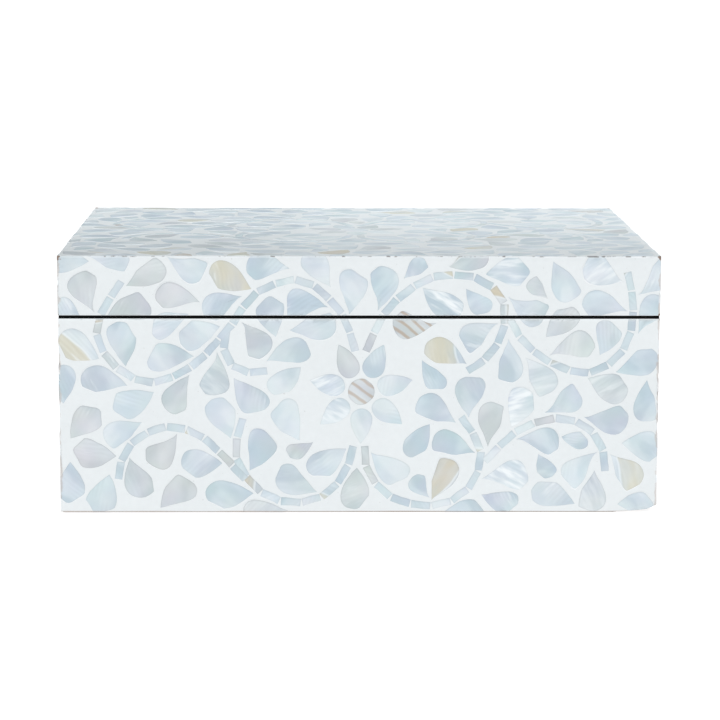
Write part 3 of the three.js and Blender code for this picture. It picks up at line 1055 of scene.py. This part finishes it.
@made_once("node_groups", "Edge Wear and Highlight")
def edge_wear_and_highlight_group(name):
    """Masks of the rubbed and the dirty places along the edges of the box, and of a painted highlight: a
    bright line along the upper front edge and below the seam.
    """
    inputs = {"Reach": 2.0 * MM, "Corner": 3.7 * MM, "Grain": 140.0}
    outputs = dict.fromkeys(("Rubbed", "Corners", "Specks", "Bright", "Foot"), "Float")
    tree, given = new_group(name, "ShaderNodeTree", inputs, outputs)
    place = object_place(tree)
    x, y, z = split(tree, place)
    from_end = HALF_LENGTH - abs(x)
    from_flank = HALF_DEPTH - abs(y)
    from_top = HEIGHT - z
    from_seam = abs(z - SEAM_HIGH) * 1.3
    patchy = ramp(tree, noise_texture(tree, place, given["Grain"], 3.0), 0.35, 0.7)

    # Upright edges, rubbed in patches
    reach = given["Reach"] * (patchy + 0.35)
    rubbed = ramp(tree, (from_end + from_flank) / reach, 1.0, 0.6)

    # Corners at the top and at the seam, rubbed through
    spots = []
    for height, size in ((from_top, 1.0), (from_seam, 0.45)):
        away = combined(tree, from_end, from_flank, height)
        distance = result(tree, "ShaderNodeVectorMath", {0: away}, "Value", operation="LENGTH")
        radius = given["Corner"] * (patchy * (0.8 * size) + 0.45 * size)
        spots.append(ramp(tree, distance / radius, 1.0, 0.8))
    corners = spots[0].or_larger(spots[1])

    # Dark specks along the upper front edge
    front = y + HALF_DEPTH + from_top
    runs = noise_texture(tree, place, 38.0, 1.0)
    grit = noise_texture(tree, place, 420.0, 2.0) + (runs - 0.5) * 0.5
    specks = ramp(tree, front, 1.2 * MM, 0.7 * MM) * ramp(tree, grit, 0.5, 0.67)

    # Painted highlight: a bright line along the upper front edge and below the seam
    below = abs(z - (SEAM_LOW - SEAM_LIP))
    bright = ramp(tree, front, 1.8 * MM, 0.8 * MM).or_larger(ramp(tree, below, 1.6 * MM, 0.6 * MM))

    # The lower edge, rubbed to a brown line
    foot = ramp(tree, z - FOOT, 0.7 * MM, 0.3 * MM) * ramp(tree, runs, 0.35, 0.6, 0.35, 1.0)
    node(tree, "NodeGroupOutput", dict(enumerate((rubbed, corners, specks, bright, foot))))
    return tree


def worn_and_highlit_colour(tree, base):
    """Base colour with the wear of the box's edges, and with a painted highlight along the upper front edge
    and below the seam.
    """
    colours = settings().finishes
    wear_and_highlight_masks = results(tree, "ShaderNodeGroup", node_tree=edge_wear_and_highlight_group())
    layers = (
        # Bright: painted highlight along the upper front edge and below the seam
        ("Bright", 0.5, colours.flash),
        ("Rubbed", 0.45, colours.rubbed),
        ("Foot", 0.5, colours.rubbed),
        ("Corners", 0.85, colours.bare),
        ("Specks", 0.75, colours.dirt),
    )
    for mask, strength, colour in layers:
        base = laid_over(tree, base, colour, wear_and_highlight_masks[mask], strength)
    return base


@made_once("node_groups", "Mottle")
def mottle_group(name):
    """A value around 1 that drifts over a surface."""
    inputs = {"Vector": "Vector", "Scale": 30.0, "Depth": 0.05}
    tree, given = new_group(name, "ShaderNodeTree", inputs, {"Value": "Float"})
    clouds = noise_texture(tree, given["Vector"], given["Scale"], 3.0, roughness=0.55)
    node(tree, "NodeGroupOutput", {0: (clouds - 0.5) * given["Depth"] * 2.0 + 1.0})
    return tree


def mottle(tree, place, scale, depth):
    inputs = {"Vector": place, "Scale": scale, "Depth": depth}
    return result(tree, "ShaderNodeGroup", inputs, node_tree=mottle_group())


def shell_body(tree, bands):
    """Lighter and darker shell in soft bands, from a tile's own tone, and grey on the grey tiles."""
    colours = settings().finishes
    level = (bands - 0.5) * 3.0 + (attribute(tree, "tone") * 0.9 + 0.05)
    base = mix(tree, ramp(tree, level, -0.05, 0.5), colours.deep, colours.blue)
    base = mix(tree, ramp(tree, level, 0.55, 1.15), base, colours.pale)
    grey = times(tree, colours.grey, ramp(tree, level, 0.0, 1.0, 0.93, 1.1))
    return mix(tree, attribute(tree, "grey"), base, grey)


def warm_patch(tree, base, grain, along_grain, bands, drift):
    """Cream to ochre shell that starts from one side of a tile, behind a thin bright line."""
    colours = settings().finishes
    wanted = attribute(tree, "warm")
    present = ramp(tree, wanted, 0.02, 0.12)
    _, across, _ = split(tree, grain)
    past = across * 1.5 + noise_texture(tree, along_grain, 1.2, 1.0) * 0.5 - (0.75 - wanted)
    uneven = ramp(tree, bands, 0.35, 0.65, 0.45, 0.85)
    colour = mix(tree, attribute(tree, "ochre"), colours.cream, colours.ochre)
    warm = ramp(tree, past, -0.03, 0.09) * present
    base = mix(tree, warm * uneven, base, times(tree, colour, drift))
    return laid_over(tree, base, colours.flash, ramp(tree, abs(past), 0.06, 0.0) * present, 0.5)


def streaks(tree, base, streak, shown):
    """Painted highlights in streaks, strong on the tiles that catch the light and faint on the others; the
    strong ones are darker between their streaks.
    """
    colours = settings().finishes
    flash = attribute(tree, "flash")
    base = laid_over(tree, base, colours.flash, ramp(tree, streak, 0.40, 0.66) * flash, 0.9)
    base = laid_over(tree, base, colours.deep, ramp(tree, streak, 0.42, 0.30) * flash, 0.35)
    return laid_over(tree, base, colours.flash, ramp(tree, streak, 0.60, 0.70) * shown, 0.4)


def growth_waves(tree, inputs):
    return result(tree, "ShaderNodeTexWave", inputs, "Fac", wave_type="BANDS", bands_direction="Y")


@made_once("materials", "mother_of_pearl")
def pearl_material(name):
    """Polished shell. Each tile has its own tone, grain direction, patches, painted highlight streaks and
    stripes.
    """
    colours = settings().finishes
    material, tree = new_material(name)

    # A tile's own coordinates: turned to its grain, and moved so that no two tiles are alike
    local = result(tree, "ShaderNodeUVMap", uv_map="UVMap")
    grain = result(tree, "ShaderNodeVectorRotate", {"Vector": local, "Angle": attribute(tree, "grain")},
                   rotation_type="Z_AXIS")
    shift = attribute(tree, "tone") * 37.0
    own = vector_math(tree, "ADD", grain, combined(tree, shift, shift, shift))
    along_grain = stretched(tree, own, 0.6, 1.2)
    bands = noise_texture(tree, along_grain, 1.6, 2.0, roughness=0.4)
    base = shell_body(tree, bands)

    # Faint tints of rose, green and straw
    hue = noise_texture(tree, own, 1.3, 1.0, "Color")
    base = mix(tree, 0.19, base, hue, "SOFT_LIGHT")

    # Fine growth lines, clear only in places
    shown = ramp(tree, noise_texture(tree, own, 1.1, 0.0), 0.52, 0.7)
    waves = growth_waves(tree, {"Vector": own, "Scale": 3.2, "Distortion": 2.6, "Detail": 1.5,
                                "Detail Scale": 0.7})
    lines = (waves - 0.5) * shown
    drift = mottle(tree, own, 2.6, 0.06) * (lines * 0.05 + 1.0)
    base = warm_patch(tree, times(tree, base, drift), grain, along_grain, bands, drift)
    # Streaks of painted highlight, which also feed the bump
    streak = noise_texture(tree, stretched(tree, own, 1.2, 5.0), 1.25, 2.5)
    base = streaks(tree, base, streak, shown)

    # Tan growth stripes
    rings = growth_waves(tree, {"Vector": own, "Scale": 1.6, "Distortion": 4.0, "Detail Scale": 0.6})
    stripe = ramp(tree, rings, 0.5, 1.0) * attribute(tree, "striped")
    base = laid_over(tree, base, mix(tree, 0.3, colours.ochre, colours.bare), stripe, 0.5)

    # A thin darker line where the tile meets the filler, and the filler drawn up against it, painted lighter
    # as a highlight round the tile
    rim = attribute(tree, "rim")
    strength = attribute(tree, "grey") * 0.25 + 0.17
    base = laid_over(tree, base, colours.rim, ramp(tree, rim, 0.5, 1.0), strength)
    base = worn_and_highlit_colour(tree, mix(tree, ramp(tree, rim, 1.2, 1.6), base, colours.collar))
    bump = bump_normal(tree, lines * 0.3 + streak, 0.12, 0.3 * MM)
    return finished(material, {"Base Color": base, "Normal": bump, "Roughness": 0.32,
                               "Coat Weight": 0.2, "Coat Roughness": 0.12})


@made_once("materials", "white_filler")
def filler_material(name):
    """Rubbed filler, mottled and finely pitted."""
    colours = settings().finishes
    material, tree = new_material(name)
    place = object_place(tree)
    shade = mottle(tree, place, 22.0, 0.03) * mottle(tree, place, 380.0, 0.035)
    pits = ramp(tree, noise_texture(tree, place, 900.0, 1.0), 0.76, 0.82)
    base = laid_over(tree, times(tree, colours.filler, shade), colours.speck, pits, 0.35)
    bump = bump_normal(tree, noise_texture(tree, place, 120.0, 3.0), 0.15, 0.4 * MM)
    return finished(material, {"Base Color": worn_and_highlit_colour(tree, base), "Normal": bump, "Roughness": 0.36,
                               "Coat Weight": 0.2, "Coat Roughness": 0.15})


@made_once("materials", "black_board_paint")
def board_material(name):
    """Dull black paint, scuffed to bare board at the foot."""
    colours = settings().finishes
    material, tree = new_material(name)
    place = object_place(tree)
    _, _, height = split(tree, place)
    shade = mottle(tree, place, 160.0, 0.35)
    scuffed = ramp(tree, height, 1.6 * MM, 0.8 * MM) * ramp(tree, shade, 0.8, 1.1, 0.6, 1.0)
    base = mix(tree, scuffed, times(tree, colours.board, shade), colours.bare)
    bump = bump_normal(tree, noise_texture(tree, place, 700.0, 2.0), 0.2, 0.2 * MM)
    return finished(material, {"Base Color": base, "Normal": bump, "Roughness": 0.7,
                               "Specular IOR Level": 0.06})


def floor_material():
    material, _ = new_material("studio_floor")
    return finished(material, {"Base Color": (0.35, 0.35, 0.35, 1), "Roughness": 0.9,
                               "Emission Color": (1, 1, 1, 1),
                               "Emission Strength": settings().studio.floor_glow})


# ---- filler skins and the liner of the seam ----

ROUND_STEPS = 3


def grid_lines(low, high, low_radius, high_radius, cell):
    """Places of the cell borders along one axis, closer together at the rounded edges."""
    flat_low, flat_high = low + low_radius, high - high_radius
    middle = np.linspace(flat_low, flat_high, max(2, round((flat_high - flat_low) / cell)) + 1)
    near = 1 - np.cos(np.linspace(0, math.pi / 2, ROUND_STEPS + 1)[:-1])
    first = low + low_radius * near if low_radius else []
    last = (high - high_radius * near)[::-1] if high_radius else []
    return np.r_[first, middle, last]


def rounded_block(low, high, radius, cell, open_sides):
    """Skin of a block with rounded edges, made of cells. open_sides names the faces left out,
    as (axis, -1 or 1). The edges of an open side aren't rounded."""
    radii = [[0.0 if (axis, side) in open_sides else radius for side in (-1, 1)] for axis in range(3)]
    lines = [grid_lines(a, b, *ends, cell) for a, b, ends in zip(low, high, radii)]
    flat_low = [a + ends[0] for a, ends in zip(low, radii)]
    flat_high = [b - ends[1] for b, ends in zip(high, radii)]
    bm = bmesh.new()
    found = {}

    def vert(place):
        key = tuple(round(value, 7) for value in place)
        if key not in found:
            core = Vector(min(max(value, a), b) for value, a, b in zip(place, flat_low, flat_high))
            out = Vector(place) - core
            found[key] = bm.verts.new(core + out.normalized() * radius if out.length > 0 else place)
        return found[key]

    for axis in range(3):
        first, second = (axis + 1) % 3, (axis + 2) % 3
        for end, side in ((0, -1), (-1, 1)):
            if (axis, side) in open_sides:
                continue
            for i in range(len(lines[first]) - 1):
                for j in range(len(lines[second]) - 1):
                    corners = []
                    for di, dj in ((0, 0), (1, 0), (1, 1), (0, 1)):
                        place = [0.0, 0.0, 0.0]
                        place[axis] = lines[axis][end]
                        place[first] = lines[first][i + di]
                        place[second] = lines[second][j + dj]
                        corners.append(vert(place))
                    if side < 0:
                        corners.reverse()
                    bm.faces.new(corners)
    for face in bm.faces:
        face.smooth = True
    return bm


def worn_down(bm):
    """Filler lowered to the worn corner."""
    for point, normal in worn_planes():
        for vert in bm.verts:
            above = (vert.co - point).dot(normal)
            if above > 0 and vert.co.z < WORN_HEIGHT:
                vert.co.z += above / max(LEAST_SLOPE, -normal.z)


def turn_in(bm, thickness):
    """Open borders of the filler turned in towards the boards, as flat lips."""
    border = [edge for edge in bm.edges if edge.is_boundary]
    made = bmesh.ops.extrude_edge_only(bm, edges=border)["geom"]
    x, y = HALF_LENGTH - thickness, HALF_DEPTH - thickness
    for item in made:
        if isinstance(item, bmesh.types.BMVert):
            item.co.x = min(max(item.co.x, -x), x)
            item.co.y = min(max(item.co.y, -y), y)
        elif isinstance(item, bmesh.types.BMFace):
            item.smooth = False
    for edge in border:
        edge.smooth = False


def ring_mesh(name, half_length, half_depth, width, low, high):
    """Closed rectangular ring: outer half sizes, width of its wall, and its heights."""
    places = []
    for inset, height in ((0, low), (0, high), (width, high), (width, low)):
        x, y = half_length - inset, half_depth - inset
        places += [(-x, -y, height), (x, -y, height), (x, y, height), (-x, y, height)]
    faces = []
    for i in range(4):
        for j in range(4):
            here, after = 4 * i, 4 * ((i + 1) % 4)
            faces.append((here + j, here + (j + 1) % 4, after + (j + 1) % 4, after + j))
    mesh = bpy.data.meshes.new(name)
    mesh.from_pydata(places, [], faces)
    return mesh


# ---- operators ----


class SHELLBOX_OT_boards(Operator):
    """Paint the boards of base and lid"""

    bl_idname = "shellbox.boards"
    bl_label = "Boards"

    def execute(self, context):
        for name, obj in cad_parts.items():
            if name.endswith("_board"):
                obj.data.materials.clear()
                obj.data.materials.append(board_material())
        return {"FINISHED"}


class SHELLBOX_OT_filler(Operator):
    """Lay the pale filler over base and lid"""

    bl_idname = "shellbox.filler"
    bl_label = "Filler"

    def execute(self, context):
        sizes = settings().filler
        x, y = HALF_LENGTH - sizes.sink, HALF_DEPTH - sizes.sink
        top = HEIGHT - sizes.sink
        pieces = (
            ("base_filler", (FOOT, SEAM_LOW - SEAM_LIP), {(2, -1), (2, 1)}),
            ("lid_filler", (SEAM_HIGH, top), {(2, -1)}),
        )
        for name, (low, high), open_sides in pieces:
            bm = rounded_block((-x, -y, low), (x, y, high), sizes.edge_radius, sizes.cell, open_sides)
            if name == "base_filler":
                worn_down(bm)
            uneven_edges(bm)
            turn_in(bm, sizes.shell)
            mesh = mesh_from(bm, f"{name}_skin")
            mesh.materials.append(filler_material())
            piece = new_object(f"{name}_skin", mesh)
            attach(piece, BODY)
            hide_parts(name)
        return {"FINISHED"}


class SHELLBOX_OT_seam(Operator):
    """Set a black liner behind the seam"""

    bl_idname = "shellbox.seam"
    bl_label = "Seam liner"

    def execute(self, context):
        sizes = settings().filler
        inset = sizes.sink + sizes.waviness + LINER_GAP
        mesh = ring_mesh("seam_liner", HALF_LENGTH - inset, HALF_DEPTH - inset, sizes.shell - inset,
                         SEAM_LOW - SEAM_LIP, SEAM_HIGH)
        mesh.materials.append(board_material())
        liner = new_object("seam_liner", mesh)
        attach(liner, BODY)
        return {"FINISHED"}


def front_pattern(layout, shift=(0.0, 0.0), mirror=1):
    """Flower and vines of the front, moved and perhaps mirrored. Gives the flower's centre."""
    def moved(point):
        return mirror * (point[0] + shift[0]), point[1] + shift[1]

    centre = moved(FRONT_FLOWER)
    layout.flower(centre)
    left, right = ("left", "right") if mirror > 0 else ("right", "left")
    vines = [
        {"stem": [moved(point) for point in vine["stem"]], "left": vine[left], "right": vine[right]}
        for vine in VINES.values()
    ]
    for vine in vines:
        layout.stem(vine)
    for vine in vines:
        layout.leaves(vine)
    return centre


class SHELLBOX_OT_front_inlay(Operator):
    """Inlay the front with its flower, vines and free leaves"""

    bl_idname = "shellbox.front_inlay"
    bl_label = "Front inlay"

    def execute(self, context):
        layout = face_layout("front")
        layout.fill(front_pattern(layout), FLOWER_GROUND)
        pieces = inlay_face("front", layout, FRONT_ACCENTS)
        solids = [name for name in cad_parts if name.startswith(("flower_", "vine_"))]
        above = [name for name in solids if "_lid_" in name]
        below = [name for name in solids if name not in above]
        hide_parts(*below)
        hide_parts(*above)
        return {"FINISHED"}


class SHELLBOX_OT_side_inlay(Operator):
    """Inlay the two sides and the back"""

    bl_idname = "shellbox.side_inlay"
    bl_label = "Side and back inlay"

    def execute(self, context):
        for number, (side, mirror) in enumerate((("right", -1), ("back", 1), ("left", 1))):
            layout = face_layout(side, SIDE_SEED + number)
            layout.fill(front_pattern(layout, mirror=mirror), FLOWER_GROUND)
            inlay_face(side, layout)
        return {"FINISHED"}


class SHELLBOX_OT_top_inlay(Operator):
    """Inlay the top of the lid round its flower"""

    bl_idname = "shellbox.top_inlay"
    bl_label = "Top inlay"

    def execute(self, context):
        layout = face_layout("top", TOP_SEED)
        centre = front_pattern(layout, (-FRONT_FLOWER[0], -FRONT_FLOWER[1]))
        layout.fill(centre, TOP_FLOWER_GROUND)
        pieces = inlay_face("top", layout)
        flower = [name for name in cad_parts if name.startswith("top_flower_")]
        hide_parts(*flower)
        return {"FINISHED"}


# Camera's sensor in millimetres, how far it sees, and the floor: its half size and its gap to the box
SENSOR_WIDTH = 36
VIEW_REACH = 100
FLOOR_REACH = 30
FLOOR_GAP = 0.1 * MM
# Name, power, width, height and place of each softbox
SOFTBOXES = (
    ("front_softbox", 1.5, 1.6, 1.6, (-0.7, -1.9, 0.6)),
    ("back_softbox", 2.2, 1.6, 0.4, (0.7, 1.7, 0.1)),
    ("top_softbox", 1.08, 1.1, 0.16, (0.0, 0.1, 0.36)),
)
SOFTBOX_COLOUR = (0.95, 0.985, 1.0)
SKY_LOW = (0.97, 0.985, 1.0)
SKY_HIGH = (0.93, 0.985, 1.0)
# Light from behind the box and from behind the camera
WORLD_LEVELS = (0.34, 0.945)
LIGHT_AIM = (0, 0, 0.06)


def studio_world():
    """Even light from all round, brighter from behind the camera."""
    world = bpy.data.worlds.new("studio")
    world.use_nodes = True
    tree = world.node_tree
    tree.nodes.clear()
    _, y, z = split(tree, result(tree, "ShaderNodeTexCoord", output="Generated"))
    sky = mix(tree, ramp(tree, z, 0.1, 0.6), SKY_LOW, SKY_HIGH)
    level = ramp(tree, y, 0.7, -0.9, *WORLD_LEVELS)
    background = result(tree, "ShaderNodeBackground", {"Color": sky, "Strength": level})
    node(tree, "ShaderNodeOutputWorld", {"Surface": background})
    return world


class SHELLBOX_OT_stage(Operator):
    """Set up the floor, the light and the camera"""

    bl_idname = "shellbox.stage"
    bl_label = "Stage"

    def execute(self, context):
        studio = settings().studio
        scene = context.scene
        scene.view_settings.view_transform = "Standard"
        scene.world = studio_world()

        mesh = bpy.data.meshes.new("floor")
        corners = ((-1, -1), (1, -1), (1, 1), (-1, 1))
        places = [(x * FLOOR_REACH, y * FLOOR_REACH, -FLOOR_GAP) for x, y in corners]
        mesh.from_pydata(places, [], [(0, 1, 2, 3)])
        mesh.materials.append(floor_material())
        new_object("floor", mesh)

        for name, energy, width, height, place in SOFTBOXES:
            light = bpy.data.lights.new(name, "AREA")
            light.energy = energy
            light.color = SOFTBOX_COLOUR
            light.shape = "RECTANGLE"
            light.size = width
            light.size_y = height
            lamp = new_object(name, light)
            lamp.location = place
            lamp.visible_camera = False
            aim = Vector(LIGHT_AIM) - lamp.location
            lamp.rotation_euler = aim.to_track_quat("-Z", "Y").to_euler()

        camera = bpy.data.cameras.new("camera")
        camera.lens = studio.lens
        camera.sensor_width = SENSOR_WIDTH
        camera.clip_end = VIEW_REACH
        eye = new_object("camera", camera)
        eye.location = studio.eye
        level_turn = Euler((math.pi / 2 - studio.pitch, 0, -studio.yaw)).to_matrix()
        eye.rotation_euler = (level_turn @ Matrix.Rotation(studio.roll, 3, "Z")).to_euler()
        scene.camera = eye
        return {"FINISHED"}


class SHELLBOX_PT_panel(Panel):
    """Steps and values of the shell box"""

    bl_idname = "SHELLBOX_PT_panel"
    bl_label = "Shell Box"
    bl_space_type = "VIEW_3D"
    bl_region_type = "UI"
    bl_category = "Shell Box"

    def draw(self, context):
        values = context.scene.shell_box
        for operator in OPERATORS:
            self.layout.operator(operator.bl_idname)
        for group in (values.tiles, values.filler, values.finishes, values.studio):
            box = self.layout.box()
            for name in group.__annotations__:
                box.prop(group, name)


OPERATORS = (
    SHELLBOX_OT_boards,
    SHELLBOX_OT_filler,
    SHELLBOX_OT_seam,
    SHELLBOX_OT_front_inlay,
    SHELLBOX_OT_side_inlay,
    SHELLBOX_OT_top_inlay,
    SHELLBOX_OT_stage,
)
GROUPS = (TileSizes, FillerSizes, Finishes, Studio, ShellBoxSettings)


def register():
    for cls in (*GROUPS, *OPERATORS, SHELLBOX_PT_panel):
        bpy.utils.register_class(cls)
    bpy.types.Scene.shell_box = PointerProperty(type=ShellBoxSettings)


def unregister():
    del bpy.types.Scene.shell_box
    for cls in reversed((*GROUPS, *OPERATORS, SHELLBOX_PT_panel)):
        bpy.utils.unregister_class(cls)


def main():
    register()
    for operator in OPERATORS:
        area, name = operator.bl_idname.split(".")
        getattr(getattr(bpy.ops, area), name)()


if __name__ == "__main__":
    main()
